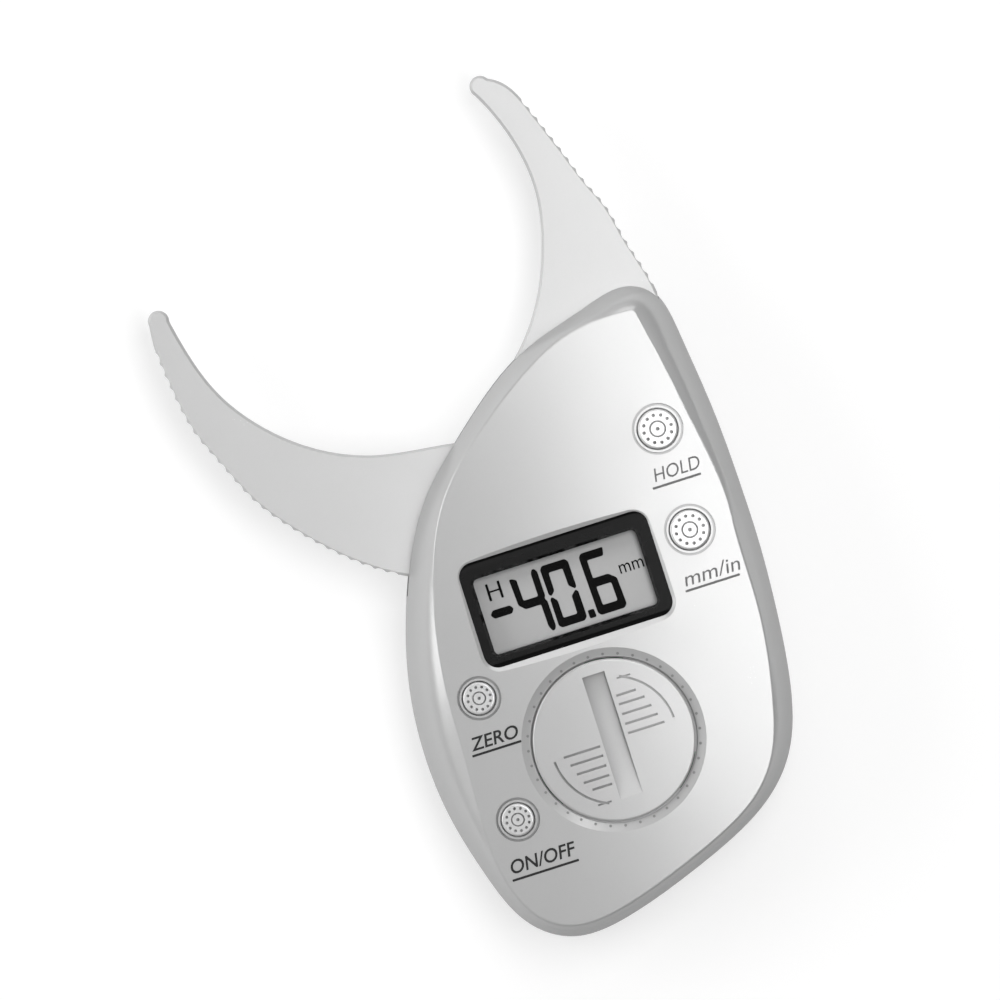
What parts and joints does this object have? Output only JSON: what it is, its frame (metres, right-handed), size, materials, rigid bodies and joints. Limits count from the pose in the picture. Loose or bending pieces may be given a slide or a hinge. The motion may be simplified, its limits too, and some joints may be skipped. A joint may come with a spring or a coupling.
{
  "type": "skinfold caliper",
  "caption": "Hand-held digital skinfold caliper with a display, buttons, a coin-slot battery cover, one fixed jaw and one jaw that swings on a pivot in the case.",
  "frame": {"origin": "jaw pivot axis on the flat rear face", "axes": "+X along the lettering to the right seen from the front, +Y towards the jaws, +Z out of the front face"},
  "size_m": [0.0912, 0.15, 0.0226],
  "materials": {
    "shell_silver": "satin silver paint",
    "rear_silver": "satin silver paint",
    "jaw_silver": "satin silver paint",
    "copper_film": "etched film",
    "steel": "zinc plated",
    "spring_steel": "bare",
    "board_green": "solder mask",
    "chip_black": "moulded",
    "chip_tan": "ceramic",
    "switch_grey": "moulded",
    "lcd_glass": "grey reflective display",
    "strip_rubber": "layered elastomer",
    "holder_black": "moulded",
    "bezel_black": "gloss",
    "lens_clear": "clear",
    "cover_silver": "satin silver paint",
    "seal_rubber": "matte",
    "cell_steel": "nickel plated",
    "button_silver": "satin silver paint",
    "plunger_white": "moulded"
  },
  "bodies": {
    "case": {"front_shell": "shell_silver", "rear_shell": "rear_silver", "fixed_jaw": "jaw_silver", "pivot_screw": "steel", "pivot_washer": "steel", "pivot_spring_washer": "spring_steel", "case_screws": "steel", "board_screws": "steel", "circuit_board": "board_green", "controller_chip": "chip_black", "chip_passives": "chip_tan", "switch_housings": "switch_grey", "lcd_panel": "lcd_glass", "lcd_contact_strips": "strip_rubber", "lcd_holder": "holder_black", "display_bezel": "bezel_black", "display_lens": "lens_clear", "battery_cover_seal": "seal_rubber", "coin_cell": "cell_steel", "battery_holder": "holder_black", "battery_contact_positive": "spring_steel", "battery_contact_negative": "spring_steel"},
    "swing_jaw": {"moving_jaw": "jaw_silver", "sensor_scale": "copper_film"},
    "turn_cover": {"battery_cover": "cover_silver"},
    "hold_key": {"hold_button": "button_silver", "hold_plunger": "plunger_white"},
    "unit_key": {"unit_button": "button_silver", "unit_plunger": "plunger_white"},
    "zero_key": {"zero_button": "button_silver", "zero_plunger": "plunger_white"},
    "power_key": {"power_button": "button_silver", "power_plunger": "plunger_white"}
  },
  "joints": [
    {"name": "jaw_pivot", "type": "hinge", "parent": "case", "child": "swing_jaw", "pos_m": [0, 0, 0.01], "axis": [0, 0, -1], "range_deg": [0, 53]},
    {"name": "battery_cover_turn", "type": "hinge", "parent": "case", "child": "turn_cover", "pos_m": [-0.0001, -0.04335, 0.0203], "axis": [0, 0, 1], "range_deg": [0, 50]},
    {"name": "hold_press", "type": "slide", "parent": "case", "child": "hold_key", "axis": [0, 0, -1], "range_m": [0, 0.0005], "stiffness_N_per_m": 400, "springref_m": -0.001},
    {"name": "unit_press", "type": "slide", "parent": "case", "child": "unit_key", "axis": [0, 0, -1], "range_m": [0, 0.0005], "stiffness_N_per_m": 400, "springref_m": -0.001},
    {"name": "zero_press", "type": "slide", "parent": "case", "child": "zero_key", "axis": [0, 0, -1], "range_m": [0, 0.0005], "stiffness_N_per_m": 400, "springref_m": -0.001},
    {"name": "power_press", "type": "slide", "parent": "case", "child": "power_key", "axis": [0, 0, -1], "range_m": [0, 0.0005], "stiffness_N_per_m": 400, "springref_m": -0.001}
  ]
}
